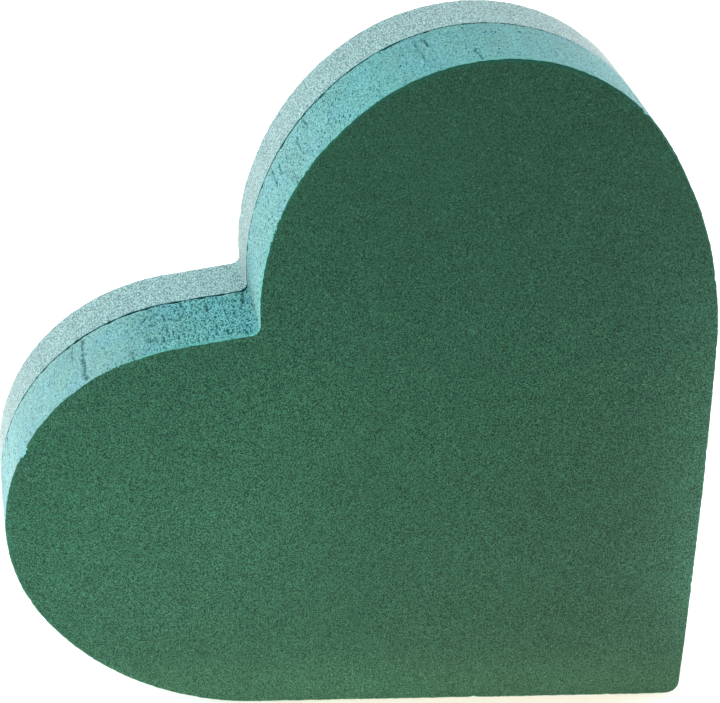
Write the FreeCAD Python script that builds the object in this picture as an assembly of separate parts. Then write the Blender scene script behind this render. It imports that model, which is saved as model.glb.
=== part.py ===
import FreeCAD, Part
import math
import os

# Heart-shaped wet floral foam block glued to a rigid backing board.
# It stands on one straight flank: X runs along that flank towards the
# heart's tip, Y runs from the foam's display face to the back of the board,
# Z is up. The origin is centred in X and Y, on the floor.
# All sizes are in millimetres and all angles in degrees.

# ---- driving dimensions ----
FOAM_THICKNESS = 34.3        # display face to glue line
GLUE_THICKNESS = 0.5         # adhesive film between foam and board
BOARD_THICKNESS = 23.2       # rigid backing board
GLUE_SETBACK = 1.4           # film stops this far short of the cut outline

TIP_RADIUS = 5.5             # rounding of the heart's tip
NOTCH_RADIUS = 3.0           # inside rounding where the lobes meet

# The outline is cut by hand round a template, so the two halves differ by a
# few millimetres. Each half is a chain of tangent arcs that starts at the
# tip: (radius, arc length), where STRAIGHT marks a straight cut.
STRAIGHT = 0.0
FLANK_ANGLE_A = 39.96        # standing flank, from the tip-to-notch axis
HALF_A = [(STRAIGHT, 193.9), (112.0, 107.8), (77.3, 103.4), (82.1, 51.6)]
FLANK_ANGLE_B = 42.97        # free flank, from the tip-to-notch axis
HALF_B = [(3968.0, 174.7), (162.0, 95.1), (78.8, 117.2), (92.6, 99.9)]

# ---- layers, from front to back ----
Y_FRONT = -(FOAM_THICKNESS + GLUE_THICKNESS + BOARD_THICKNESS) / 2.0
Y_GLUE = Y_FRONT + FOAM_THICKNESS
Y_BOARD = Y_GLUE + GLUE_THICKNESS

TOLERANCE = 1e-6             # for telling upright edges and the Y = 0 face
NORMAL_TOLERANCE = 1e-9      # for telling a face square to Y


# ---- outline ----
# It is traced in the heart's own axes: "across" the heart, and "along" the
# axis from tip to notch. Headings are in radians from the along axis.
def advance(across, along, heading, radius, length):
    """Position and heading after one arc or straight cut."""
    if radius == STRAIGHT:
        return (
            across + length * math.sin(heading),
            along + length * math.cos(heading),
            heading,
        )
    turned = heading - length / radius
    return (
        across + radius * (math.cos(turned) - math.cos(heading)),
        along - radius * (math.sin(turned) - math.sin(heading)),
        turned,
    )


def standing_point(across, along):
    """Heart axes to the plane Y = 0, with half A's flank along -X."""
    tilt = math.radians(FLANK_ANGLE_A)
    return FreeCAD.Vector(
        -(math.sin(tilt) * across + math.cos(tilt) * along),
        0.0,
        -math.cos(tilt) * across + math.sin(tilt) * along,
    )


def trace_half(flank_angle, arcs, side):
    """Radius, start, middle and end of every arc; side is +1 or -1 across."""
    across, along, heading = 0.0, 0.0, math.radians(flank_angle)
    spans = []
    for radius, length in arcs:
        start = standing_point(side * across, along)
        mid_across, mid_along, _ = advance(across, along, heading, radius, length / 2.0)
        middle = standing_point(side * mid_across, mid_along)
        across, along, heading = advance(across, along, heading, radius, length)
        end = standing_point(side * across, along)
        spans.append((radius, start, middle, end))
    return spans


def span_edge(radius, start, middle, end):
    if radius == STRAIGHT:
        return Part.makeLine(start, end)
    return Part.Arc(start, middle, end).toShape()


def sharp_outline():
    """The unrounded heart, and the corner at its notch."""
    half_a = trace_half(FLANK_ANGLE_A, HALF_A, 1.0)
    half_b = trace_half(FLANK_ANGLE_B, HALF_B, -1.0)
    end_a, notch = half_a[-1][3], half_b[-1][3]
    edges = [span_edge(*span) for span in half_a]
    # A short line joins the ends of the two halves.
    edges.append(Part.makeLine(end_a, notch))
    for radius, start, middle, end in reversed(half_b):
        edges.append(span_edge(radius, end, middle, start))
    return Part.Wire(edges), notch


def upright_edge(solid, corner):
    """The edge parallel to Y that is nearest to a corner of the outline."""
    def is_upright(edge):
        start, end = edge.Vertexes[0].Point, edge.Vertexes[-1].Point
        return abs(start.x - end.x) + abs(start.z - end.z) <= TOLERANCE

    def distance(edge):
        start = edge.Vertexes[0].Point
        return math.hypot(start.x - corner.x, start.z - corner.z)

    return min(filter(is_upright, solid.Edges), key=distance)


def rounded_outline():
    """The heart outline in the plane Y = 0, with its tip and notch rounded."""
    wire, notch = sharp_outline()
    tip = FreeCAD.Vector(0.0, 0.0, 0.0)
    solid = Part.Face(wire).extrude(FreeCAD.Vector(0.0, 1.0, 0.0))
    for corner, radius in [(tip, TIP_RADIUS), (notch, NOTCH_RADIUS)]:
        solid = solid.makeFillet(radius, [upright_edge(solid, corner)])
    for face in solid.Faces:
        square_to_y = abs(abs(face.normalAt(0.0, 0.0).y) - 1.0) < NORMAL_TOLERANCE
        if square_to_y and abs(face.CenterOfMass.y) < TOLERANCE:
            return face.OuterWire
    raise RuntimeError("no outline")


def plate(outline, y_start, thickness):
    """A flat plate of the outline, from y_start to y_start + thickness."""
    wire = outline.copy()
    wire.translate(FreeCAD.Vector(0.0, y_start, 0.0))
    return Part.Face(wire).extrude(FreeCAD.Vector(0.0, thickness, 0.0))


def placed_outline():
    """The rounded outline, centred in X and resting on the floor."""
    outline = rounded_outline()
    # The box is taken from a thin plate of the outline.
    box = plate(outline, 0.0, 1.0).optimalBoundingBox()
    outline.translate(FreeCAD.Vector(-(box.XMin + box.XMax) / 2.0, 0.0, -box.ZMin))
    return outline


# ---- pieces ----
def foam_heart(outline):
    return plate(outline, Y_FRONT, FOAM_THICKNESS)


def adhesive_film(outline):
    return plate(outline.makeOffset2D(-GLUE_SETBACK), Y_GLUE, GLUE_THICKNESS)


def backing_board(outline):
    return plate(outline, Y_BOARD, BOARD_THICKNESS)


heart_outline = placed_outline()
os.makedirs("parts", exist_ok=True)
for build in (foam_heart, adhesive_film, backing_board):
    build(heart_outline).exportStep("parts/" + build.__name__ + ".step")
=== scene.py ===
"""Visible model of a heart-shaped floral foam block glued to a backing board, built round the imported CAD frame."""
import math

import bpy
import numpy as np
from mathutils import Matrix, Vector
from mathutils.geometry import delaunay_2d_cdt


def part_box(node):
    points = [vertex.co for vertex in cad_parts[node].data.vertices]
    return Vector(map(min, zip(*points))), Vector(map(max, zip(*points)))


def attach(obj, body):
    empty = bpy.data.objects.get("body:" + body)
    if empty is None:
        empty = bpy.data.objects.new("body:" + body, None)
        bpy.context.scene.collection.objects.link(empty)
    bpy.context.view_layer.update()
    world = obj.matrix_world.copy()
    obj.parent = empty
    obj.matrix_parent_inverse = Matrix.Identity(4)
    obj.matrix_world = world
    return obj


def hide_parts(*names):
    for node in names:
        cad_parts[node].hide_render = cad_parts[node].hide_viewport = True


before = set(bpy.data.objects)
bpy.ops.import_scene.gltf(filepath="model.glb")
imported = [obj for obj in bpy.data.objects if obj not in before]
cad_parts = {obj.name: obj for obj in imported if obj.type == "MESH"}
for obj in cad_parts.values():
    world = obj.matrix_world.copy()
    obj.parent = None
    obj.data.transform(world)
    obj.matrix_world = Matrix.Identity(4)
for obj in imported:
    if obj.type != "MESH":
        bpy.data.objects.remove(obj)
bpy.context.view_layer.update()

MM = 0.001
foam_lo, foam_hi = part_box("foam_heart")
glue_lo, glue_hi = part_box("adhesive_film")
board_lo, board_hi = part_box("backing_board")
Y_FRONT, Y_FOAM = foam_lo.y / MM, foam_hi.y / MM      # display face, back of the foam
Y_BOARD, Y_BACK = board_lo.y / MM, board_hi.y / MM    # front and back of the board

# ---------------------------------------------------------------------------
# outline: straight cuts and arcs, clockwise seen from the display face, in mm.
# (start, end, radius); radius 0 is straight, negative turns the other way.
# ---------------------------------------------------------------------------
SEGMENTS = [
    ((143.97320, 0.0), (-43.69759, 0.0), 0.0),
    ((-43.69759, 0.0), (-135.60735, 47.99534), 112.0),
    ((-135.60735, 47.99534), (-129.80872, 143.68151), 77.3),
    ((-129.80872, 143.68151), (-85.94526, 169.21692), 82.1),
    ((-85.94526, 169.21692), (-59.55161, 174.92949), 0.0),
    ((-59.55161, 174.92949), (-57.21932, 178.30594), -3.0),
    ((-57.21932, 178.30594), (-23.21453, 264.54733), 92.6),
    ((-23.21453, 264.54733), (83.19620, 256.79949), 78.8),
    ((83.19620, 256.79949), (124.89103, 172.84240), 162.0),
    ((124.89103, 172.84240), (149.43031, 6.18552), 3968.0),
    ((149.43031, 6.18552), (143.97320, 0.0), 5.5),
]


def segment_length(a, b, r):
    c = math.hypot(b[0] - a[0], b[1] - a[1])
    return c if r == 0 else 2 * abs(r) * math.asin(min(1.0, c / 2 / abs(r)))


LENGTHS = [segment_length(*s) for s in SEGMENTS]
STARTS = np.concatenate([[0.0], np.cumsum(LENGTHS)])
PERIMETER = float(STARTS[-1])


def outline_at(s):
    """Points (n, 2) and outward normals (n, 2) of the outline at arc lengths s, in mm."""
    s = np.mod(np.asarray(s, float), PERIMETER)
    P = np.zeros((len(s), 2)); N = np.zeros((len(s), 2))
    k = np.clip(np.searchsorted(STARTS, s, side="right") - 1, 0, len(SEGMENTS) - 1)
    for i, (a, b, r) in enumerate(SEGMENTS):
        m = k == i
        if not m.any():
            continue
        a = np.array(a); b = np.array(b)
        u = ((s[m] - STARTS[i]) / LENGTHS[i])[:, None]
        chord = b - a; c = np.hypot(*chord); t = chord / c; left = np.array([-t[1], t[0]])
        if r == 0:
            P[m] = a + chord * u; N[m] = left
        else:
            R = abs(r); side = -1.0 if r > 0 else 1.0
            centre = (a + b) / 2 + side * left * math.sqrt(max(R * R - c * c / 4, 0.0))
            a0 = math.atan2(a[1] - centre[1], a[0] - centre[0])
            ang = a0 + side * (LENGTHS[i] / R) * u[:, 0]
            P[m] = centre + R * np.stack([np.cos(ang), np.sin(ang)], 1)
            N[m] = (P[m] - centre) / R * (1.0 if r > 0 else -1.0)
    return P, N


# ---------------------------------------------------------------------------
# seeded noise
# ---------------------------------------------------------------------------
_lattices = {}


def noise(p, size, seed):
    """Smooth value noise in -1..1 at points p (n, 3) in mm, with features of the given size in mm."""
    if seed not in _lattices:
        _lattices[seed] = np.random.RandomState(seed).rand(48, 48, 48).astype(np.float32) * 2 - 1
    g = _lattices[seed]
    q = np.asarray(p, float) / size + 977.0
    i = np.floor(q).astype(int); f = q - i; f = f * f * (3 - 2 * f)
    i0 = i % 48; i1 = (i + 1) % 48
    out = 0.0
    for dx in (0, 1):
        wx = f[:, 0] if dx else 1 - f[:, 0]; ix = (i1 if dx else i0)[:, 0]
        for dy in (0, 1):
            wy = f[:, 1] if dy else 1 - f[:, 1]; iy = (i1 if dy else i0)[:, 1]
            for dz in (0, 1):
                wz = f[:, 2] if dz else 1 - f[:, 2]; iz = (i1 if dz else i0)[:, 2]
                out = out + wx * wy * wz * g[ix, iy, iz]
    return out


def smooth(x, a, b):
    t = np.clip((x - a) / (b - a), 0, 1)
    return t * t * (3 - 2 * t)


def wrap(d):
    """Shortest signed distance along the closed outline."""
    return (d + PERIMETER / 2) % PERIMETER - PERIMETER / 2


# ---------------------------------------------------------------------------
# marks on the cut sides: (s, y) in mm
# ---------------------------------------------------------------------------
# cracks: s at start and end, y at start and end, half width, depth, how broken up the line is (0..1)
CRACKS = [
    (413.3, 412.6, 4.8, -25.0, 0.34, 0.5, 0.7),
    (408.6, 407.6, 4.6, -6.0, 0.35, 0.7, 0.5),
    (439.8, 438.8, -6.5, -21.0, 0.36, 0.45, 0.85),
    (440.2, 442.2, -19.2, -19.9, 0.42, 1.1, 0.1),
    (432.6, 432.8, -23.0, -27.6, 0.45, 1.0, 0.7),
    (438.0, 440.8, -4.4, -0.6, 0.40, 0.9, 0.3),
    (447.0, 447.4, 2.0, -25.0, 0.35, 0.6, 0.7),
    (452.6, 453.4, 1.0, -16.0, 0.35, 0.7, 0.7),
    (457.8, 457.2, -3.0, -22.0, 0.35, 0.6, 0.75),
    (463.9, 463.4, 0.0, -6.0, 0.60, 1.4, 0.2),
    (469.6, 470.4, 3.0, -20.0, 0.35, 0.6, 0.75),
    (474.0, 473.4, 2.0, -14.0, 0.35, 0.7, 0.7),
    (478.2, 477.4, 4.0, -4.0, 0.50, 1.2, 0.75),
    (529.2, 529.6, 3.8, -12.5, 0.40, 0.8, 0.45),
    (533.8, 533.5, 0.0, -10.4, 0.40, 0.9, 0.4),
    (539.0, 539.2, -17.0, -28.4, 0.40, 0.8, 0.5),
    (545.0, 545.5, -2.8, -14.4, 0.40, 0.8, 0.5),
    (550.5, 551.4, 4.2, -4.4, 0.38, 0.8, 0.4),
    (598.8, 600.2, 1.0, -20.4, 0.40, 0.8, 0.5),
    (602.5, 603.0, 0.8, -7.2, 0.45, 0.9, 0.4),
    (617.2, 617.8, -16.8, -27.2, 0.40, 0.9, 0.3),
]
SHARP = len(CRACKS)
_rng = np.random.RandomState(11)
for _ in range(46):                       # the same knife marks on the sides that face away
    s0 = float(_rng.uniform(692, PERIMETER + 395)) % PERIMETER
    y0 = float(_rng.uniform(-20, 4.5)); ln = float(_rng.uniform(5, 20))
    CRACKS.append((s0, s0 + float(_rng.uniform(-0.8, 0.8)), y0, max(y0 - ln, -28.2),
                   float(_rng.uniform(0.32, 0.5)), float(_rng.uniform(0.5, 1.1)), float(_rng.uniform(0.3, 0.75))))


def pit_list(seed):
    """Open cells torn out of the cut sides: (s, y, radius, depth)."""
    rng = np.random.RandomState(seed)
    out = [(413.6, 3.0, 0.79, 1.0), (413.4, 1.0, 0.77, 1.0), (413.0, -2.6, 0.79, 1.2), (412.6, -6.8, 0.74, 1.0),
           (412.3, -10.0, 0.90, 1.2), (412.6, -12.4, 0.98, 1.3), (412.8, -14.4, 0.82, 1.1), (412.8, -16.4, 0.79, 1.1),
           (412.6, -18.6, 0.87, 1.2), (412.3, -20.8, 0.74, 1.0), (412.8, -23.4, 0.84, 1.1), (413.0, -25.2, 0.79, 1.0)]
    for lo, hi, count in ((338, 430, 26), (430, 488, 120), (490, 540, 26), (540, 612, 34), (612, 700, 14), (700, PERIMETER + 338, 300)):
        for _ in range(count):
            r = 0.34 + 0.34 * rng.rand() ** 2
            out.append((rng.uniform(lo, hi) % PERIMETER, rng.uniform(Y_FRONT + 1.2, Y_FOAM - 0.6), r, r * rng.uniform(0.7, 1.25)))
    return out


def carve(s, y, pos, cracks, pits):
    """Depth in mm cut into a side at (s, y), and how much painted shade darkens the hollow (0..1)."""
    depth = np.zeros(len(s)); dark = np.zeros(len(s))
    for s0, s1, y0, y1, hw, dp, broken in cracks:
        t = np.clip((y - y0) / (y1 - y0), -0.02, 1.02)
        mid = s0 + (s1 - s0) * np.clip(t, 0, 1)
        near = np.abs(wrap(s - mid)) < 3.0
        inside = near & (t > -0.02) & (t < 1.02)
        if abs(s1 - s0) > abs(y1 - y0) * 0.6 or abs(y1 - y0) < 5:   # short slanting nick
            a = np.array([0.0, y0]); b = np.array([s1 - s0, y1]); ab = b - a
            px = wrap(s - s0); py = y - y0
            u = np.clip((px * ab[0] + py * ab[1]) / (ab @ ab), 0, 1)
            d = np.hypot(px - u * ab[0], py - u * ab[1])
            m = np.where(d < 3)[0]
            if len(m) == 0:
                continue
            f = np.exp(-(d[m] / (hw * 1.15)) ** 2)
        else:
            m = np.where(inside)[0]
            if len(m) == 0:
                continue
            wob = 0.35 * noise(np.stack([y[m], np.full(len(m), s0), np.zeros(len(m))], 1), 3.2, 5)
            f = np.exp(-((wrap(s[m] - mid[m]) - wob) / (0.8 * hw)) ** 2)
            f *= smooth(t[m], 0.0, 0.08) * (1 - smooth(t[m], 0.92, 1.0))
        gate = noise(np.stack([y[m], np.full(len(m), s0 * 1.7), np.full(len(m), 3.0)], 1), 1.15, 6)
        f *= 1 - broken * smooth(gate, -0.10, 0.25)
        depth[m] = np.maximum(depth[m], dp * f)
        dark[m] = np.maximum(dark[m], np.clip(f * min(1.0, dp / 1.0), 0, 1))
    if pits:
        order = np.argsort(s, kind="stable"); ss = s[order]
        for s0, y0, r, dp in pits:
            a = np.searchsorted(ss, s0 - 1.6 * r); b = np.searchsorted(ss, s0 + 1.6 * r)
            m = order[a:b]
            m = m[np.abs(y[m] - y0) < 1.6 * r]
            if len(m) == 0:
                continue
            d = np.hypot(s[m] - s0, y[m] - y0) / r
            f = np.exp(-d ** 2 * 1.4)
            depth[m] = np.maximum(depth[m], dp * f)
            dark[m] = np.maximum(dark[m], np.clip(1.35 * min(1.0, 0.9 * dp + 0.1) * f, 0, 1))
    return depth, dark


# ---------------------------------------------------------------------------
# meshes
# ---------------------------------------------------------------------------
def spaced(step_at):
    """Arc lengths round the outline with a spacing that step_at(s) gives."""
    grid = np.arange(0, PERIMETER, 0.1)
    rate = 1.0 / step_at(grid)
    cum = np.concatenate([[0.0], np.cumsum(rate) * (PERIMETER / len(grid))])
    n = int(round(cum[-1]))
    return np.interp(np.arange(n) / n * cum[-1], cum, np.concatenate([grid, [PERIMETER]]))


def fill(ring, step, seed, jitter=0.22):
    """Triangles over a closed ring: its own points first, then a jittered hexagonal grid inside."""
    lo, hi = ring.min(0), ring.max(0)
    rows = np.arange(lo[1] + step * 0.5, hi[1], step * 0.8660254)
    pts = []
    for j, z in enumerate(rows):
        x = np.arange(lo[0] + (step / 2 if j % 2 else 0.0), hi[0], step)
        pts.append(np.stack([x, np.full(len(x), z)], 1))
    pts = np.concatenate(pts)
    pts += np.random.RandomState(seed).uniform(-jitter, jitter, pts.shape) * step
    # inside the ring, and no closer to it than 0.6 of a step
    x, z = pts[:, 0], pts[:, 1]
    inside = np.zeros(len(pts), bool)
    a, b = ring, np.roll(ring, -1, 0)
    near = np.full(len(pts), 1e9)
    for i in range(len(ring)):
        c = (a[i, 1] > z) != (b[i, 1] > z)
        if c.any():
            xi = a[i, 0] + (z[c] - a[i, 1]) / (b[i, 1] - a[i, 1]) * (b[i, 0] - a[i, 0])
            inside[c] ^= x[c] < xi
    from mathutils.kdtree import KDTree
    tree = KDTree(len(ring))
    for i, p in enumerate(ring):
        tree.insert((p[0], p[1], 0.0), i)
    tree.balance()
    pts = pts[inside]
    d = np.array([tree.find((p[0], p[1], 0.0))[2] for p in pts])
    pts = pts[d > 0.6 * step]
    allp = np.concatenate([ring, pts])
    n = len(ring)
    vs, _, fs, ov, _, _ = delaunay_2d_cdt([Vector(p) for p in allp], [], [list(range(n))], 1, 1e-7)
    index = [o[0] for o in ov]
    faces = [tuple(index[i] for i in f) for f in fs]
    return pts, faces


def make_object(name, verts, faces, mats, mat_index, attrs, smooth_faces=True):
    mesh = bpy.data.meshes.new(name)
    mesh.from_pydata([tuple(v) for v in (np.asarray(verts) * MM)], [], faces)
    mesh.validate()
    mesh.update()
    for m in mats:
        mesh.materials.append(m)
    mesh.polygons.foreach_set("material_index", np.asarray(mat_index, np.int32))
    mesh.polygons.foreach_set("use_smooth", np.full(len(mesh.polygons), smooth_faces))
    for key, values in attrs.items():
        at = mesh.attributes.new(key, "FLOAT", "POINT")
        at.data.foreach_set("value", np.asarray(values, np.float32))
    ob = bpy.data.objects.new(name, mesh)
    bpy.context.scene.collection.objects.link(ob)
    return ob


def lathe_block(s_list, profile, front_step, back_step, seed):
    """Rings of the outline along a profile of (inset, y) pairs, closed by a triangulated face at each end.

    Returns rest positions, ring s, profile row of every vertex, outward normals, faces and, for each face, its zone
    (0 first end, 1 side, 2 last end)."""
    P, N = outline_at(s_list)
    n = len(s_list); rows = len(profile)
    verts = []; srow = []; row = []; nrm = []
    for k, (inset, y) in enumerate(profile):
        q = P - N * inset
        verts.append(np.stack([q[:, 0], np.full(n, y), q[:, 1]], 1))
        srow.append(s_list); row.append(np.full(n, k)); nrm.append(np.stack([N[:, 0], np.zeros(n), N[:, 1]], 1))
    faces = []; zone = []
    for k in range(rows - 1):
        a = k * n; b = (k + 1) * n
        for i in range(n):
            j = (i + 1) % n
            faces.append((a + i, a + j, b + j, b + i)); zone.append(1)
    total = rows * n
    for end, k, step in ((0, 0, front_step), (2, rows - 1, back_step)):
        inset, y = profile[k]
        ring = P - N * inset
        inner, tris = fill(ring, step, seed + end)
        base = k * n
        remap = lambda i: base + i if i < n else total + i - n
        for f in tris:
            f = tuple(remap(i) for i in f)
            # triangles come anticlockwise in (x, z), which faces -Y
            faces.append(f if end == 0 else f[::-1]); zone.append(end)
        m = len(inner)
        verts.append(np.stack([inner[:, 0], np.full(m, y), inner[:, 1]], 1))
        srow.append(np.full(m, -1.0)); row.append(np.full(m, -1 if end == 0 else -2))
        nrm.append(np.zeros((m, 3)))
        total += m
    return (np.concatenate(verts), np.concatenate(srow), np.concatenate(row), np.concatenate(nrm), faces, np.array(zone))


def fix_winding(verts, faces):
    """Turns every face so that the closed mesh's volume is positive; all faces already agree with each other."""
    vol = 0.0
    v = np.asarray(verts)
    for f in faces:
        for i in range(1, len(f) - 1):
            vol += np.dot(v[f[0]], np.cross(v[f[i]], v[f[i + 1]]))
    return [f[::-1] for f in faces] if vol < 0 else faces


# ---- foam ----------------------------------------------------------------
def foam_step(s):
    seen = smooth(s, 325, 345) * (1 - smooth(s, 690, 712))
    step = 1.45 - 0.80 * seen
    for s0, s1 in [c[:2] for c in CRACKS[:SHARP]]:          # closer rings where a crack needs them
        step = np.where((s > min(s0, s1) - 0.8) & (s < max(s0, s1) + 0.8), 0.34, step)
    return step


foam_s = spaced(foam_step)
EDGE = 0.9                                   # rounding of the display face's edge
profile = [(1.6, Y_FRONT), (EDGE, Y_FRONT)]
for a in (25, 50, 70):
    profile.append((EDGE * (1 - math.sin(math.radians(a))), Y_FRONT + EDGE * (1 - math.cos(math.radians(a)))))
y_rows = np.linspace(Y_FRONT + EDGE, Y_FOAM - 0.75, 48)
profile += [(0.0, float(y)) for y in y_rows]
profile += [(0.0, Y_FOAM - 0.42), (0.0, Y_FOAM - 0.18), (0.06, Y_FOAM - 0.03), (0.4, Y_FOAM), (2.4, Y_FOAM)]
verts, vs, vrow, vn, faces, zone = lathe_block(foam_s, profile, 1.75, 9.0, 21)
rest = verts.copy()
ringv = vs >= 0
prof = np.array(profile)
inset = np.where(ringv, prof[np.clip(vrow, 0, None), 0], 9.0)
yy = rest[:, 1]
side_w = np.where(ringv, 1 - smooth(inset, 0.0, 1.2), 0.0)          # 1 on the side, 0 on both end faces
front_w = (yy < Y_FRONT + EDGE + 0.01).astype(float)
# broad, hand-cut unevenness and fine cell texture
wave = 0.22 * noise(rest, 38, 1) + 0.10 * noise(rest, 11, 2)
grain = 0.10 * noise(rest, 1.3, 3) + 0.05 * noise(rest, 0.7, 4)
# dark: painted shade for the carved cracks and pits
depth, dark = carve(np.where(ringv, vs, -99), yy, rest, CRACKS, pit_list(31))
depth *= side_w; dark *= side_w
# streaks left by the wire, running from front to back
streak = np.where(ringv, noise(np.stack([vs, yy * 0.06, np.zeros(len(vs))], 1), 0.9, 7), 0) * 0.07
out = (wave + grain + streak) * side_w - depth - 0.04 * side_w
# crumbled display-face edge
rag = noise(np.stack([vs, np.zeros(len(vs)), np.zeros(len(vs))], 1), 1.6, 8)
rag2 = noise(np.stack([vs, np.zeros(len(vs)), np.zeros(len(vs))], 1), 6.0, 9)
CHIPS = [(374.6, 0.8, 0.85), (372.7, 0.6, 0.65), (376.6, 0.6, 0.6), (370.6, 0.5, 0.4), (272.1, 0.45, -0.55), (683.7, 0.9, 0.6), (303.0, 0.8, 0.4), (233.0, 0.8, 0.4),
         (90.0, 0.9, 0.5), (150.0, 0.7, 0.4), (28.0, 0.8, 0.4), (760.0, 0.8, 0.6), (905.0, 0.8, 0.5), (838.0, 0.7, 0.4)]
chip = np.zeros(len(vs))
for s0, w, d in CHIPS:
    bite = d * np.exp(-(wrap(vs - s0) / w) ** 2)
    chip = np.where(np.abs(bite) > np.abs(chip), bite, chip)
edge_w = np.where(ringv & (yy < Y_FRONT + 2.4), 1 - smooth(yy, Y_FRONT + 0.2, Y_FRONT + 2.4), 0.0) * np.where(ringv, 1 - smooth(inset, 0.6, 1.6), 0)
crumble = (0.07 * rag + 0.05 * rag2 + 0.07 * noise(rest, 0.8, 10)) * edge_w - chip * edge_w
push = out + crumble - 0.05 * edge_w
verts = rest + vn * push[:, None]
# the display face: fine cells, faint sawn waviness
face = (~ringv) & (rest[:, 1] < 0)
face_w = np.where(face, 1.0, np.where(ringv & (yy < Y_FRONT + EDGE + 0.01), smooth(inset, 0.0, EDGE), 0.0))
dy = 0.10 * noise(rest, 60, 12) + 0.07 * noise(rest, 2.0, 13) + 0.05 * noise(rest, 1.2, 14) + 0.10
dy = dy + np.clip(chip, 0, 2) * 0.6 * np.where(ringv, 1.0, 0.0)
verts[:, 1] += np.clip(dy, 0.01, 2) * face_w
# torn spots along the glue line
tear = np.zeros(len(vs))
TEARS = [(411.2, 1.8, 0.9), (406.8, 1.3, 0.7), (394.0, 1.1, 0.6), (426.0, 1.5, 0.5), (434.5, 1.6, 0.6), (441.0, 1.2, 0.7), (452.0, 1.8, 0.5), (462.3, 1.3, 0.7), (470.0, 1.6, 0.6), (479.0, 1.6, 0.8),
         (496.0, 1.2, 0.6), (521.0, 1.0, 0.5), (538.0, 1.4, 0.6), (552.0, 1.2, 0.6), (561.0, 1.6, 0.6), (575.0, 1.0, 0.5), (589.0, 1.5, 0.6), (604.0, 1.2, 0.5), (640.0, 1.1, 0.5), (700.0, 1.3, 0.6),
         (745.0, 1.4, 0.6), (810.0, 1.2, 0.6), (870.0, 1.5, 0.7), (930.0, 1.2, 0.6), (40.0, 1.4, 0.6), (120.0, 1.5, 0.6), (205.0, 1.2, 0.6), (260.0, 1.5, 0.7), (320.0, 1.4, 0.6)]
for s0, w, d in TEARS:
    tear = np.maximum(tear, 0.35 * d * np.exp(-(wrap(vs - s0) / w) ** 2))
tear = tear + 0.08 * np.clip(noise(np.stack([vs, np.zeros(len(vs)), np.zeros(len(vs))], 1), 2.2, 15), 0, 1)
tw = np.where(ringv, smooth(yy, Y_FOAM - 1.1, Y_FOAM - 0.2), 0.0) * np.where(inset < 0.6, 1.0, 0.0)
verts[:, 1] -= tear * tw
verts += -vn * (tear * tw * 0.9)[:, None]
touch = np.clip(noise(np.stack([vs, np.zeros(len(vs)), np.ones(len(vs)) * 7], 1), 4.5, 17) + 0.15, 0, 1) * np.clip(1 - 3 * tear, 0, 1)
verts[:, 1] += 0.30 * touch * np.where(ringv & (yy > Y_FOAM - 0.25) & (inset < 0.6), 1.0, 0.0)
# painted shade in the torn hollows along the glue line
dark = np.maximum(dark, np.clip(tear * tw * 1.4, 0, 1) * np.where(ringv, smooth(yy, Y_FOAM - 0.9, Y_FOAM - 0.3), 0))
# glue staining the very edge, deepened with painted shade of the seam between foam and board
dark = np.maximum(dark, np.where(ringv, 0.9 * smooth(yy, Y_FOAM - 0.16, Y_FOAM - 0.04), 0))
verts[:, 2] = np.maximum(verts[:, 2], 0.0)                          # pressed flat where it stands
faces = fix_winding(verts, faces)
mat_index = np.where(zone == 0, 0, 1)
n_ring = len(foam_s)
for i, f in enumerate(faces):
    if zone[i] == 1:
        at = foam_s[min(f) % n_ring]
        w = min(1.0, max(0.0, (at - 416) / 20)) * min(1.0, max(0.0, (534 - at) / 20))
        last = 4 - 2 * w + (0.7 * np.sin(at * 2.9) * np.sin(at * 1.3 + 1) if 0 < w < 1 else 0)
        last = 2 if np.abs(wrap(at - 374.3)) < 2.2 else int(round(last))
        if max(f) // n_ring <= last:
            mat_index[i] = 0
# torn, deeper coloured cells towards the notch and over the top of the other lobe, with painted shade added there: the
# shade in the notch and on the upward-facing top of the other lobe
density = np.where(ringv, np.clip((vs - 436) / 42, 0, 1) * (1 - smooth(vs, 483, 489)) + 1.05 * smooth(vs, 538, 584) * (1 - smooth(vs, 638, 668))
                   + 0.20 * (smooth(vs, 700, 760) + (1 - smooth(vs, 280, 340))), 0)
specks = np.where(ringv, 0.72 * np.clip((vs - 424) / 40, 0, 1) * (1 - smooth(vs, 482, 489)) + 0.02 * smooth(vs, 535, 550) * (1 - smooth(vs, 562, 585))
                  - 0.5 * smooth(vs, 560, 590) * (1 - smooth(vs, 690, 720)) + 0.3 * (smooth(vs, 700, 760) + (1 - smooth(vs, 280, 340))), 0)
# pale dusty film and painted grazing sheen, mostly on the outer part of the small lobe
dust_and_sheen = np.where(ringv, smooth(vs, 300, 350) * (1 - smooth(vs, 414, 456)) + 0.35 * smooth(vs, 492, 502) * (1 - smooth(vs, 540, 575)) + 0.15 * smooth(vs, 650, 664), 0)
# painted shade over the upward-facing top of the other lobe
shade = np.where(ringv, smooth(vs, 552, 584) * (1 - smooth(vs, 636, 672)), 0)
# painted highlight on the rounded edge of the display face
edge = np.where(ringv & (yy < Y_FRONT + EDGE + 0.01), 1 - smooth(inset, EDGE * 0.4, EDGE * 1.02), 0.0) * (1 - 0.9 * smooth(vs, 325, 350) * (1 - smooth(vs, 672, 700)))
# painted highlight: a lighter green band inside the display face's edge, strongest on the larger lobe
brim_highlight = np.where(ringv & (yy < Y_FRONT + EDGE + 0.01), 1 - smooth(inset, 0.3, 1.35), 0.0) * (0.25 + 0.75 * smooth(vs, 480, 500)) * smooth(vs, 325, 350) * (1 - smooth(vs, 672, 700))
# painted highlight: a mint band along the front edge of the cut sides, wider on the larger lobe
lip_highlight = np.where(ringv, np.where(vs > 530, 1 - smooth(yy, Y_FRONT + 1.0, Y_FRONT + 4.6), 1 - smooth(yy, Y_FRONT + 0.7, Y_FRONT + 2.3)), 0) * (0.55 + 0.45 * smooth(vs, 420, 440))

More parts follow.
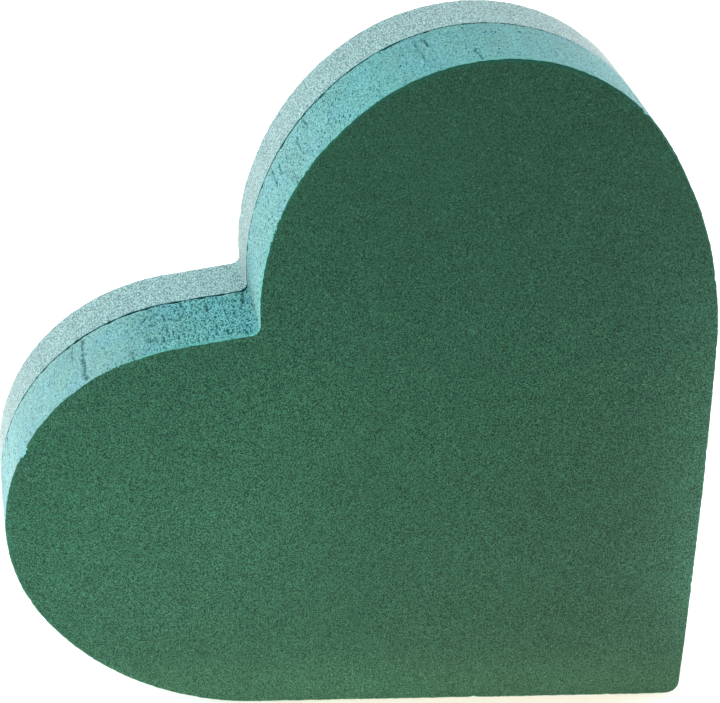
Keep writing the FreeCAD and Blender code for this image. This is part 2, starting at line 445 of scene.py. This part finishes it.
# ---------------------------------------------------------------------------
# materials
# ---------------------------------------------------------------------------
class Nodes:
    def __init__(self, name):
        self.mat = bpy.data.materials.new(name)
        self.mat.use_nodes = True
        self.t = self.mat.node_tree
        self.t.nodes.clear()
        self.out = self.t.nodes.new("ShaderNodeOutputMaterial")
        self.bsdf = self.t.nodes.new("ShaderNodeBsdfPrincipled")
        self.t.links.new(self.bsdf.outputs[0], self.out.inputs[0])
        self.coord = self.t.nodes.new("ShaderNodeTexCoord").outputs["Object"]

    def link(self, a, b):
        self.t.links.new(a, b)

    def put(self, socket, value):
        if hasattr(value, "links"):
            self.link(value, socket)
        elif isinstance(value, (tuple, list)):
            socket.default_value = tuple(value) + (1.0,) * (len(socket.default_value) - len(value))
        else:
            socket.default_value = value

    def mapping(self, scale):
        n = self.t.nodes.new("ShaderNodeMapping")
        n.inputs["Scale"].default_value = scale
        self.link(self.coord, n.inputs[0])
        return n.outputs[0]

    def noise(self, scale, detail=2.0, rough=0.5, vector=None, distortion=0.0):
        n = self.t.nodes.new("ShaderNodeTexNoise")
        n.inputs["Scale"].default_value = scale
        n.inputs["Detail"].default_value = detail
        n.inputs["Roughness"].default_value = rough
        n.inputs["Distortion"].default_value = distortion
        self.link(vector or self.coord, n.inputs["Vector"])
        return n.outputs[0]

    def voronoi(self, scale, feature="F1", output=0, vector=None, rand=1.0):
        n = self.t.nodes.new("ShaderNodeTexVoronoi")
        n.feature = feature
        n.inputs["Scale"].default_value = scale
        n.inputs["Randomness"].default_value = rand
        self.link(vector or self.coord, n.inputs["Vector"])
        return n.outputs[output]

    def math(self, op, a, b=0.0, clamp=False):
        n = self.t.nodes.new("ShaderNodeMath")
        n.operation = op; n.use_clamp = clamp
        self.put(n.inputs[0], a); self.put(n.inputs[1], b)
        return n.outputs[0]

    def rng(self, value, a, b, c=0.0, d=1.0, smoothstep=False):
        n = self.t.nodes.new("ShaderNodeMapRange")
        n.interpolation_type = "SMOOTHSTEP" if smoothstep else "LINEAR"
        n.clamp = True
        self.put(n.inputs["Value"], value)
        for key, v in (("From Min", a), ("From Max", b), ("To Min", c), ("To Max", d)):
            self.put(n.inputs[key], v)
        return n.outputs[0]

    def mix(self, fac, a, b, blend="MIX"):
        n = self.t.nodes.new("ShaderNodeMix")
        n.data_type = "RGBA"; n.blend_type = blend
        self.put(n.inputs[0], fac); self.put(n.inputs[6], a); self.put(n.inputs[7], b)
        return n.outputs[2]

    def attr(self, name):
        n = self.t.nodes.new("ShaderNodeAttribute")
        n.attribute_name = name
        return n.outputs["Fac"]

    def bump(self, height, strength, distance, normal=None):
        n = self.t.nodes.new("ShaderNodeBump")
        n.inputs["Strength"].default_value = strength
        n.inputs["Distance"].default_value = distance
        self.link(height, n.inputs["Height"])
        if normal is not None:
            self.link(normal, n.inputs["Normal"])
        return n.outputs[0]


def foam_face_material():
    """Dark green display face: fine velvety open cells, pale dust in them, slow patchiness."""
    m = Nodes("foam_display_face")
    cell = m.noise(2750, 0.0)
    cell2 = m.noise(1500, 1.0, 0.6)
    pore = m.voronoi(1650)
    fleck = m.noise(1500, 0.0)
    broad = m.noise(14, 3.0, 0.55)
    mid = m.noise(120, 2.0, 0.5)
    g = m.math("ADD", m.math("MULTIPLY", cell, 0.72), m.math("MULTIPLY", cell2, 0.28))
    # the cells are brushed smoother towards the top
    up = m.height()
    amp = m.math("MULTIPLY", m.rng(up, 0.0, 0.08, 0.88, 1.42), m.rng(up, 0.15, 0.24, 1.0, 0.52))
    g = m.math("ADD", m.math("MULTIPLY", m.math("SUBTRACT", g, 0.5), amp), 0.5)
    col = m.mix(m.rng(g, 0.335, 0.675), FACE_DARK, FACE_LIGHT)
    col = m.mix(m.rng(pore, 0.05, 0.34, 0.3, 0.0), col, FACE_PORE)
    col = m.mix(m.rng(fleck, 0.70, 0.84, 0.0, 0.3), col, FACE_DUST)
    tone = m.math("ADD", m.rng(broad, 0.3, 0.7, 0.94, 1.06), m.rng(mid, 0.3, 0.7, -0.03, 0.03))
    col = m.mix(1.0, col, m.comb(tone), "MULTIPLY")
    # painted highlight where the rounded edge catches the light
    edge_highlight = m.math("MULTIPLY", m.attr("edge"), m.rng(mid, 0.3, 0.7, 0.35, 0.65))
    col = m.mix(edge_highlight, col, FACE_EDGE_HIGHLIGHT)
    # painted highlight along the display face's edge
    col = m.mix(m.math("MULTIPLY", m.attr("brim_highlight"), 0.55), col, FACE_BRIM_HIGHLIGHT)
    m.put(m.bsdf.inputs["Base Color"], col)
    m.put(m.bsdf.inputs["Roughness"], m.rng(cell2, 0.3, 0.7, 0.82, 0.97))
    m.bsdf.inputs["Specular IOR Level"].default_value = 0.18
    m.bsdf.inputs["Sheen Weight"].default_value = 0.08
    m.bsdf.inputs["Sheen Roughness"].default_value = 0.5
    m.put(m.bsdf.inputs["Sheen Tint"], (0.55, 0.85, 0.7))
    h = m.math("ADD", m.math("MULTIPLY", g, 0.8), m.math("MULTIPLY", pore, 0.5))
    m.link(m.bump(h, 0.5, 0.0004), m.bsdf.inputs["Normal"])
    return m.mat


def height(self):
    n = self.t.nodes.new("ShaderNodeSeparateXYZ")
    self.link(self.coord, n.inputs[0])
    return n.outputs[2]


Nodes.height = height


def comb(self, value):
    n = self.t.nodes.new("ShaderNodeCombineColor")
    for i in range(3):
        self.put(n.inputs[i], value)
    return n.outputs[0]


Nodes.comb = comb


def foam_cut_material():
    """Light teal cut sides: pale powdery cells, torn pits darkened with painted shade, wire streaks from front to back.
    """
    m = Nodes("foam_cut_side")
    along = m.mapping((1.0, 0.5, 1.0))
    cell = m.noise(2100, 0.0, 0.5, along)
    cell2 = m.noise(1250, 1.0, 0.6, along)
    pore = m.voronoi(1300)
    streaks = m.noise(620, 1.0, 0.5, m.mapping((1.0, 0.05, 1.0)))
    wide = m.noise(70, 2.0, 0.5, m.mapping((1.0, 0.22, 1.0)))
    broad = m.noise(22, 3.0, 0.55)
    speck = m.noise(1900, 0.0, 0.5, along)
    speck2 = m.noise(1200, 0.0, 0.5, m.mapping((1.0, 0.35, 1.0)))
    dense_and_shade = m.attr("density")
    hollow_shade = m.attr("hollow_shade")
    lip_highlight_mask = m.attr("lip_highlight")
    g = m.math("ADD", m.math("MULTIPLY", cell, 0.6), m.math("MULTIPLY", cell2, 0.4))
    col = m.mix(m.rng(g, 0.32, 0.66), CUT_DARK, CUT_LIGHT)
    col = m.mix(m.rng(pore, 0.04, 0.28, 0.35, 0.0), col, CUT_PORE)
    # more and darker specks where the cut tore the cells
    torn = m.attr("specks")
    low = m.math("SUBTRACT", 0.655, m.math("MULTIPLY", torn, 0.10))
    k = m.math("MULTIPLY", m.math("SUBTRACT", speck, low), 20.0, True)
    col = m.mix(m.math("MULTIPLY", k, 0.9), col, CUT_PIT)
    low2 = m.math("SUBTRACT", 0.69, m.math("MULTIPLY", torn, 0.10))
    k2 = m.math("MULTIPLY", m.math("SUBTRACT", speck2, low2), 12.0, True)
    col = m.mix(m.math("MULTIPLY", k2, 0.85), col, CUT_PIT)
    # deeper colour of torn cells plus painted shade in the notch and over the top of the other lobe
    col = m.mix(m.math("MULTIPLY", dense_and_shade, 0.86), col, CUT_DEEP_AND_SHADE)
    # pale dusty film plus painted grazing sheen
    col = m.mix(m.math("MULTIPLY", m.attr("dust_and_sheen"), m.rng(g, 0.3, 0.7, 0.16, 0.40)), col, CUT_DUST_AND_SHEEN)
    # slow drift between bluer and greener
    hue = m.noise(75, 2.0, 0.5)
    col = m.mix(1.0, col, m.mix(m.rng(hue, 0.35, 0.65), (0.95, 0.985, 1.04), (1.04, 1.01, 0.955)), "MULTIPLY")
    tone = m.math("ADD", m.rng(broad, 0.3, 0.7, 0.93, 1.06), m.rng(streaks, 0.3, 0.7, -0.06, 0.05))
    tone = m.math("ADD", tone, m.rng(wide, 0.3, 0.7, -0.05, 0.05))
    col = m.mix(1.0, col, m.comb(tone), "MULTIPLY")
    # painted shade over the upward-facing top of the other lobe
    col = m.mix(m.attr("shade"), col, (0.80, 0.885, 0.89), "MULTIPLY")
    # painted highlight along the front edge
    col = m.mix(m.math("MULTIPLY", lip_highlight_mask, 0.42), col, CUT_LIP_HIGHLIGHT)
    # painted shade in the carved cracks, pits and torn spots
    col = m.mix(m.math("MULTIPLY", hollow_shade, 0.92), col, CUT_HOLE_SHADE)
    m.put(m.bsdf.inputs["Base Color"], col)
    m.put(m.bsdf.inputs["Roughness"], m.rng(cell2, 0.3, 0.7, 0.84, 0.98))
    clean = m.math("SUBTRACT", 1.0, m.math("MAXIMUM", m.math("MAXIMUM", k, k2), hollow_shade), True)
    m.put(m.bsdf.inputs["Specular IOR Level"], m.math("MULTIPLY", clean, 0.2))
    m.put(m.bsdf.inputs["Sheen Weight"], m.math("MULTIPLY", clean, 0.28))
    m.bsdf.inputs["Sheen Roughness"].default_value = 0.45
    m.put(m.bsdf.inputs["Sheen Tint"], (1.0, 0.97, 0.97))
    h = m.math("ADD", m.math("MULTIPLY", g, 0.7), m.math("MULTIPLY", pore, 0.4))
    h = m.math("ADD", h, m.math("MULTIPLY", streaks, 0.25))
    m.link(m.bump(h, 0.6, 0.0005), m.bsdf.inputs["Normal"])
    return m.mat


def board_material():
    """Pale grey-teal rigid foam board: fine sparkling closed cells, faint bead edges, darker grey-lilac back rim."""
    m = Nodes("backing_board_foam")
    along = m.mapping((1.0, 0.55, 1.0))
    cell = m.noise(2200, 0.0, 0.5, along)
    cell2 = m.noise(1350, 1.0, 0.6, along)
    bead = m.voronoi(330, "DISTANCE_TO_EDGE")
    beadtone = m.voronoi(330, "F1", 1)
    glint = m.noise(1700, 0.0, 0.5, along)
    broad = m.noise(18, 3.0, 0.55)
    streaks = m.noise(420, 1.0, 0.5, m.mapping((1.0, 0.05, 1.0)))
    rim = m.attr("rim")
    hollow_shade = m.attr("hollow_shade")
    g = m.math("ADD", m.math("MULTIPLY", cell, 0.6), m.math("MULTIPLY", cell2, 0.4))
    col = m.mix(m.rng(g, 0.37, 0.63), BOARD_DARK, BOARD_LIGHT)
    col = m.mix(m.rng(glint, 0.66, 0.76, 0.0, 0.5), col, BOARD_GLINT)
    col = m.mix(m.rng(bead, 0.0, 0.00028, 0.16, 0.0), col, BOARD_LINE)
    tone = m.math("ADD", m.rng(broad, 0.3, 0.7, 0.95, 1.05), m.rng(streaks, 0.3, 0.7, -0.03, 0.03))
    tone = m.math("ADD", tone, m.math("MULTIPLY", m.math("SUBTRACT", m.lum(beadtone), 0.5), 0.06))
    # painted shade near the notch and painted light further out
    tone = m.math("ADD", tone, m.attr("tone"))
    col = m.mix(1.0, col, m.comb(tone), "MULTIPLY")
    col = m.mix(m.math("MULTIPLY", rim, 0.5), col, BOARD_RIM)
    # painted shade in the carved pits
    col = m.mix(m.math("MULTIPLY", hollow_shade, 0.8), col, BOARD_PIT_SHADE)
    # glue smear plus painted shade of the seam along the board's front edge
    col = m.mix(m.rng(m.attr("glue_and_seam_shade"), 0.12, 0.60, 0.0, 0.97), col, GLUE_LIGHT)
    m.put(m.bsdf.inputs["Base Color"], col)
    m.put(m.bsdf.inputs["Roughness"], m.rng(cell2, 0.3, 0.7, 0.7, 0.92))
    m.put(m.bsdf.inputs["Specular IOR Level"], m.rng(m.attr("glue_and_seam_shade"), 0.0, 0.6, 0.3, 0.0))
    m.put(m.bsdf.inputs["Sheen Weight"], m.rng(m.attr("glue_and_seam_shade"), 0.0, 0.6, 0.45, 0.0))
    m.bsdf.inputs["Sheen Roughness"].default_value = 0.4
    h = m.math("ADD", m.math("MULTIPLY", g, 0.6), m.rng(bead, 0.0, 0.0005, 0.0, 0.4))
    m.link(m.bump(h, 0.55, 0.0004), m.bsdf.inputs["Normal"])
    return m.mat


def lum(self, colour):
    n = self.t.nodes.new("ShaderNodeRGBToBW")
    self.link(colour, n.inputs[0])
    return n.outputs[0]


Nodes.lum = lum


def length(self, vector):
    n = self.t.nodes.new("ShaderNodeVectorMath")
    n.operation = "LENGTH"
    self.link(vector, n.inputs[0])
    return n.outputs["Value"]


Nodes.length = length


def glue_material():
    """Matt dark teal adhesive with dust and foam crumbs stuck in it."""
    m = Nodes("glue_line")
    a = m.noise(900, 2.0, 0.6); b = m.noise(160, 3.0, 0.6)
    col = m.mix(m.rng(b, 0.35, 0.7), GLUE_DARK, GLUE_LIGHT)
    col = m.mix(m.rng(a, 0.62, 0.74, 0.0, 0.6), col, CUT_PIT)
    m.put(m.bsdf.inputs["Base Color"], col)
    m.put(m.bsdf.inputs["Roughness"], m.rng(b, 0.3, 0.7, 0.55, 0.85))
    m.bsdf.inputs["Specular IOR Level"].default_value = 0.12
    m.link(m.bump(a, 0.5, 0.0003), m.bsdf.inputs["Normal"])
    return m.mat


def floor_material():
    m = Nodes("studio_floor")
    a = m.noise(3.0, 3.0, 0.5); b = m.noise(900, 1.0, 0.5)
    col = m.mix(m.rng(a, 0.3, 0.7), (0.90, 0.895, 0.875), (0.92, 0.915, 0.895))
    # painted contact shadow: a trace of cream close to where the block stands
    contact_shadow_coords = m.mapping((0.80, 2.2, 1.0))
    contact_shadow_coords.node.inputs["Location"].default_value = (-0.038, 0.0, 0.0)
    near = m.rng(m.length(contact_shadow_coords), 0.085, 0.135, 1.0, 0.0, True)
    col = m.mix(near, col, (0.92, 0.865, 0.745))
    m.put(m.bsdf.inputs["Base Color"], col)
    # looked at directly the ground is burnt out to a plain pale tone, less so in the painted contact shadow; it throws
    # no extra light on the block
    seen = m.t.nodes.new("ShaderNodeLightPath").outputs["Is Camera Ray"]
    m.put(m.bsdf.inputs["Emission Color"], m.mix(near, (0.30, 0.26, 0.30), (0.045, 0.008, 0.0)))
    m.put(m.bsdf.inputs["Emission Strength"], seen)
    m.put(m.bsdf.inputs["Roughness"], m.rng(b, 0.3, 0.7, 0.75, 0.85))
    m.bsdf.inputs["Specular IOR Level"].default_value = 0.15
    return m.mat


# linear colours
FACE_DARK = (0.0041, 0.0248, 0.0138); FACE_LIGHT = (0.0297, 0.1207, 0.0729)
FACE_BRIM_HIGHLIGHT = (0.0100, 0.1180, 0.0850); FACE_EDGE_HIGHLIGHT = (0.0611, 0.2104, 0.1563); FACE_PORE = (0.0041, 0.0291, 0.0157); FACE_DUST = (0.1143, 0.2697, 0.1890)
CUT_DARK = (0.0505, 0.2438, 0.2516); CUT_LIGHT = (0.1928, 0.5614, 0.5755)
CUT_PORE = (0.0358, 0.2019, 0.2076); CUT_PIT = (0.0070, 0.1060, 0.1080); CUT_DEEP_AND_SHADE = (0.0240, 0.2420, 0.2270)
CUT_DUST_AND_SHEEN = (0.3900, 0.6400, 0.6450); CUT_LIP_HIGHLIGHT = (0.1150, 0.4700, 0.4150); CUT_HOLE_SHADE = (0.0028, 0.0421, 0.0439)
BOARD_DARK = (0.0556, 0.1722, 0.1811); BOARD_LIGHT = (0.3942, 0.6330, 0.6391); BOARD_GLINT = (0.3791, 0.5983, 0.5989)
BOARD_LINE = (0.1387, 0.2731, 0.2795); BOARD_RIM = (0.1941, 0.2926, 0.3327); BOARD_PIT_SHADE = (0.0746, 0.1807, 0.1798)
GLUE_DARK = (0.004, 0.056, 0.058); GLUE_LIGHT = (0.009, 0.098, 0.098)

foam = make_object("foam_heart_sculpted", verts, faces, [foam_face_material(), foam_cut_material()], mat_index,
                   {"hollow_shade": np.clip(dark, 0, 1), "density": np.clip(density, 0, 1), "specks": specks, "dust_and_sheen": dust_and_sheen, "lip_highlight": lip_highlight, "edge": edge, "brim_highlight": brim_highlight, "shade": shade})

# ---- board ---------------------------------------------------------------
board_s = spaced(lambda s: 1.7 - 0.75 * smooth(s, 325, 345) * (1 - smooth(s, 690, 712)))
BEDGE = 0.5
bprofile = [(2.4, Y_BOARD), (0.4, Y_BOARD), (0.10, Y_BOARD + 0.03), (0.02, Y_BOARD + 0.14)]
bprofile += [(0.0, Y_BOARD + d) for d in (0.30, 0.50, 0.72, 1.0)]
bprofile += [(0.0, float(y)) for y in np.linspace(Y_BOARD + 1.4, Y_BACK - BEDGE, 29)]
bprofile += [(BEDGE * (1 - math.cos(math.radians(a))), Y_BACK - BEDGE * (1 - math.sin(math.radians(a)))) for a in (35, 65)]
bprofile += [(BEDGE, Y_BACK), (1.6, Y_BACK)]
bv, bs, brow, bn, bfaces, bzone = lathe_block(board_s, bprofile, 9.0, 2.6, 41)
brest = bv.copy(); bring = bs >= 0
bprof = np.array(bprofile)
binset = np.where(bring, bprof[np.clip(brow, 0, None), 0], 9.0)
bside = np.where(bring, 1 - smooth(binset, 0.0, 1.2), 0.0)
bwave = 0.16 * noise(brest, 40, 1) + 0.06 * noise(brest, 9, 22)
bgrain = 0.06 * noise(brest, 1.5, 23) + 0.04 * noise(brest, 0.8, 24)
rngb = np.random.RandomState(77)
bpits = [(rngb.uniform(0, PERIMETER), rngb.uniform(Y_BOARD + 1.0, Y_BACK - 1.0), 0.45 + 0.35 * rngb.rand() ** 2, 0.5) for _ in range(160)]
bdepth, bdark = carve(np.where(bring, bs, -99), brest[:, 1], brest, [], bpits)
bstreak = np.where(bring, noise(np.stack([bs, brest[:, 1] * 0.05, np.zeros(len(bs))], 1), 1.1, 25), 0) * 0.04
brag = 0.10 * noise(np.stack([bs, np.zeros(len(bs)), np.zeros(len(bs))], 1), 1.8, 26) * np.where(bring, smooth(brest[:, 1], Y_BACK - 1.6, Y_BACK - 0.3), 0)
bpush = (bwave + bgrain + bstreak - 0.04) * bside - bdepth * bside * 0.8 + brag * bside
bv = brest + bn * bpush[:, None]
bface = (~bring) & (brest[:, 1] > (Y_BOARD + Y_BACK) / 2)
bfw = np.where(bface, 1.0, np.where(bring & (brest[:, 1] > Y_BACK - 0.3), smooth(binset, 0.0, BEDGE), 0.0))
bdy = 0.12 * noise(brest, 70, 27) + 0.05 * noise(brest, 3.0, 28) + 0.03 * noise(brest, 1.6, 29) + 0.14
bv[:, 1] -= np.clip(bdy, 0.01, 1) * bfw
# small torn spots along the glue line
bline = lambda size, seed: noise(np.stack([bs, np.zeros(len(bs)), np.full(len(bs), 9.0)], 1), size, seed)
btear = 0.14 * np.clip(bline(2.6, 30), 0, 1) + 0.55 * np.clip(bline(1.25, 32) - 0.42, 0, 1)
for s0, w, d in TEARS:
    btear = np.maximum(btear, 0.75 * d * np.exp(-(wrap(bs - s0) / (0.55 * w)) ** 2))
btw = np.where(bring, 1 - smooth(brest[:, 1], Y_BOARD + 0.1, Y_BOARD + 1.3), 0.0) * np.where(binset < 0.6, 1.0, 0.0)
bv[:, 1] += btear * btw * 0.7
bv += -bn * (btear * btw * 0.5)[:, None]
bv[:, 2] = np.maximum(bv[:, 2], 0.0)
bfaces = fix_winding(bv, bfaces)
# dark seam line on the board's front edge: a glue smear plus painted shade of the gap between foam and board, deepest
# in the torn spots
bglue_shade_reach = 0.19 - 0.09 * smooth(bs, 438, 452) * (1 - smooth(bs, 482, 488)) + 0.27 * smooth(bs, 484, 494) * (1 - smooth(bs, 590, 625)) + 0.16 * bline(3.4, 31) + 0.17 * bline(1.1, 33) + 0.9 * btear
bglue_shade_reach = np.clip(bglue_shade_reach, 0.06, 1.1)
board_glue_and_seam_shade = np.where(bring, 1 - smooth(brest[:, 1], Y_BOARD + 0.55 * bglue_shade_reach, Y_BOARD + 0.08 + 1.15 * bglue_shade_reach), 0.0)
board_glue_and_seam_shade *= np.clip(0.80 + 0.45 * bline(0.9, 34), 0.35, 1.0) * (1 - (0.35 * smooth(bs, 584, 600) + 0.25 * smooth(bs, 620, 640)) * (1 - smooth(bs, 690, 720)))
# painted shade a little darker in the shelter of the notch, painted light a little paler further out
board_painted_shading = np.where(bring, 0.09 * smooth(bs, 384, 410) * (1 - smooth(bs, 452, 474)) - 0.04 * smooth(bs, 462, 476) * (1 - smooth(bs, 482, 500)), 0.0)
board_rim = np.where(bring, smooth(brest[:, 1], Y_BACK - 1.3, Y_BACK - 0.5), 0.0)
board = make_object("backing_board_sculpted", bv, bfaces, [board_material()], np.zeros(len(bfaces)),
                    {"hollow_shade": np.clip(bdark * bside, 0, 1), "rim": board_rim, "glue_and_seam_shade": board_glue_and_seam_shade, "tone": board_painted_shading})

# ---- glue ----------------------------------------------------------------
glue_s = spaced(lambda s: np.full_like(s, 1.6))
GP, GN = outline_at(glue_s)
gset = 1.15 + 0.55 * noise(np.stack([glue_s, np.zeros(len(glue_s)), np.zeros(len(glue_s))], 1), 7.0, 51) \
    + 0.35 * noise(np.stack([glue_s, np.zeros(len(glue_s)), np.ones(len(glue_s))], 1), 2.4, 52)
gset = np.clip(gset, 0.45, 2.2)
gprofile = [(0.9, 0.0), (0.2, 0.02), (0.0, 0.5), (0.2, 0.98), (0.9, 1.0)]
gverts = []
g_lo, g_hi = Y_FOAM + 0.02, Y_BOARD - 0.02
for inner, k in gprofile:
    q = GP - GN * (gset + inner)[:, None]
    gverts.append(np.stack([q[:, 0], np.full(len(q), g_lo + (g_hi - g_lo) * k), q[:, 1]], 1))
ng = len(glue_s); gfaces = []
for k in range(len(gprofile) - 1):
    for i in range(ng):
        j = (i + 1) % ng
        gfaces.append((k * ng + i, k * ng + j, (k + 1) * ng + j, (k + 1) * ng + i))
total = len(gprofile) * ng
for end, k in ((0, 0), (2, len(gprofile) - 1)):
    ring = GP - GN * (gset + gprofile[k][0])[:, None]
    inner, tris = fill(ring, 11.0, 61 + end)
    for f in tris:
        f = tuple(k * ng + i if i < ng else total + i - ng for i in f)
        gfaces.append(f if end == 0 else f[::-1])
    gverts.append(np.stack([inner[:, 0], np.full(len(inner), gverts[k][0, 1]), inner[:, 1]], 1))
    total += len(inner)
gverts = np.concatenate(gverts)
gfaces = fix_winding(gverts, gfaces)
glue = make_object("adhesive_film_beads", gverts, gfaces, [glue_material()], np.zeros(len(gfaces)), {})

for piece, node, slot in ((foam, "foam_heart", "green_foam"), (board, "backing_board", "pale_board"), (glue, "adhesive_film", "dark_adhesive")):
    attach(piece, "root")
    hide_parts(node)

# ---------------------------------------------------------------------------
# floor, lights, camera
# ---------------------------------------------------------------------------
fm = bpy.data.meshes.new("studio_floor")
fn = 96
ring = [(9.0 * math.cos(2 * math.pi * i / fn), 9.0 * math.sin(2 * math.pi * i / fn), 0.0) for i in range(fn)]
fm.from_pydata(ring, [], [tuple(range(fn))])
floor = bpy.data.objects.new("studio_floor", fm)
bpy.context.scene.collection.objects.link(floor)
fm.materials.append(floor_material())
floor.location.z = -0.0002

world = bpy.data.worlds.new("studio")
bpy.context.scene.world = world
world.use_nodes = True
bg = world.node_tree.nodes["Background"]
bg.inputs[0].default_value = (0.99, 1.0, 1.0, 1.0)
# dim fill for the object, plain white wherever the camera sees past the floor
seen = world.node_tree.nodes.new("ShaderNodeLightPath")
level = world.node_tree.nodes.new("ShaderNodeMapRange")
level.inputs["To Min"].default_value, level.inputs["To Max"].default_value = 0.112, 1.0
world.node_tree.links.new(seen.outputs["Is Camera Ray"], level.inputs["Value"])
world.node_tree.links.new(level.outputs["Result"], bg.inputs[1])


def area(name, where, at, size, power, colour):
    d = bpy.data.lights.new(name, "AREA")
    d.shape = "RECTANGLE"; d.size, d.size_y = size
    d.energy = power; d.color = colour
    o = bpy.data.objects.new(name, d)
    bpy.context.scene.collection.objects.link(o)
    o.location = where
    o.visible_camera = False
    o.rotation_mode = "QUATERNION"
    o.rotation_quaternion = (Vector(at) - Vector(where)).to_track_quat("-Z", "Y")
    return o


area("top_softbox", (-0.50, 0.40, 1.30), (0, 0.0, 0.1), (1.6, 1.2), 15, (0.984, 1.000, 0.997))
area("left_softbox", (-1.6, -0.10, 0.75), (0, 0, 0.12), (1.0, 1.2), 9.3, (1.000, 0.977, 0.969))
area("right_softbox", (1.7, 0.30, 0.85), (0, 0, 0.12), (1.0, 1.2), 11.3, (0.967, 0.993, 1.000))
area("back_softbox", (0.3, 1.6, 1.0), (0, 0, 0.15), (1.6, 1.0), 11.7, (0.972, 0.997, 1.000))
area("front_softbox", (0.0, -1.5, 0.55), (0, 0, 0.12), (1.2, 0.8), 6.12, (0.978, 1.000, 0.990))
# the pale table throwing light back on the lower edge and the two outer edges of the display face; these cards
# light the object only, so they leave no patches on the floor
cards = [
    area("table_card_front", (0.080, -0.149, 0.0009), (0.080, -0.029, 0.0215), (0.4435, 0.04), 0.46, (1.000, 0.315, 0.240)),
    area("table_card_left", (-0.1412, -0.1958, 0.0575), (-0.138, -0.029, 0.0612), (0.3028, 0.1437), 0.50, (0.798, 1.000, 0.967)),
    area("table_card_right", (0.1671, -0.0514, 0.175), (0.1595, -0.029, 0.175), (0.0225, 0.2709), 0.150, (1.000, 0.847, 0.896)),
    area("table_card_edge", (0.0092, -0.0437, 0.0), (0.0092, -0.029, 0.0002), (0.4595, 0.03), 0.070, (1.000, 0.737, 0.508))]
pieces = bpy.data.collections.new("lit_by_cards")
for piece in (foam, board, glue):
    pieces.objects.link(piece)
for card in cards:
    card.light_linking.receiver_collection = pieces

# an even wash that reaches the floor only and throws no shadow, so the ground stays plain and pale to the horizon
ground = bpy.data.collections.new("ground_only")
ground.objects.link(floor)
wash_data = bpy.data.lights.new("floor_wash", "SUN")
wash_data.energy = 2.2
wash_data.angle = math.radians(60)
wash = bpy.data.objects.new("floor_wash", wash_data)
bpy.context.scene.collection.objects.link(wash)
wash.location = (0.0, 0.0, 2.5)
wash.light_linking.receiver_collection = ground
wash.light_linking.blocker_collection = ground

# camera pose: rows are the camera's right, down and forward axes in (across, tip-to-notch, depth) heart axes
R = np.array([[-0.7194821080456516, -0.6708809236021406, -0.1796226114633788],
              [0.5980798045786161, -0.46702837606739755, -0.6512948973414837],
              [0.3530524657290891, -0.5760236820605452, 0.7372588922135982]])
T = np.array([143.69195199874284, -29.479124452260642, 855.7135150819496])
FOCAL, CX, CY = 1891.2379, 360.0, 758.2422
LEAN = math.radians(39.96)
TIP = np.array([150.2024, Y_FRONT, 0.0])
# heart axes (u, v, w) in row axes
U = np.array([-math.sin(LEAN), 0.0, -math.cos(LEAN)])
V = np.array([-math.cos(LEAN), 0.0, math.sin(LEAN)])
Wd = np.array([0.0, 1.0, 0.0])
B = np.stack([U, V, Wd])                       # row vector -> (u, v, w) components
C = R @ B                                      # row axes -> camera axes
place = (-C.T @ T + TIP) * MM
cam_data = bpy.data.cameras.new("camera")
cam = bpy.data.objects.new("camera", cam_data)
bpy.context.scene.collection.objects.link(cam)
rot = Matrix(((C[0][0], -C[1][0], -C[2][0]), (C[0][1], -C[1][1], -C[2][1]), (C[0][2], -C[1][2], -C[2][2])))
cam.matrix_world = Matrix.Translation(Vector(place)) @ rot.to_4x4()
cam_data.sensor_fit = "HORIZONTAL"
cam_data.sensor_width = 36.0
cam_data.lens = FOCAL * 36.0 / 720.0
cam_data.clip_start, cam_data.clip_end = 0.05, 50.0
bpy.context.scene.camera = cam
# The photograph's frame sits above the lens axis, so the lens is shifted, but only from this one place: when the camera
# is moved round the object the shift drops to nothing and the object stays in the middle.
for channel, amount in (("shift_x", (360.0 - (CX + 0.5)) / 720.0), ("shift_y", ((CY + 0.5) - 351.5) / 720.0)):
    drv = cam_data.driver_add(channel).driver
    drv.type = "SCRIPTED"
    names = []
    for axis, key, value in (("x", "LOC_X", cam.location.x), ("y", "LOC_Y", cam.location.y), ("z", "LOC_Z", cam.location.z)):
        var = drv.variables.new(); var.name = axis; var.type = "TRANSFORMS"
        var.targets[0].id = cam; var.targets[0].transform_type = key; var.targets[0].transform_space = "WORLD_SPACE"
        names.append("abs(%s - (%.6f)) < 0.0005" % (axis, value))
    drv.expression = "%.6f * (%s)" % (amount, " and ".join(names))

bpy.context.scene.view_settings.view_transform = "Standard"
bpy.context.scene.view_settings.look = "None"

bpy.context.view_layer.update()
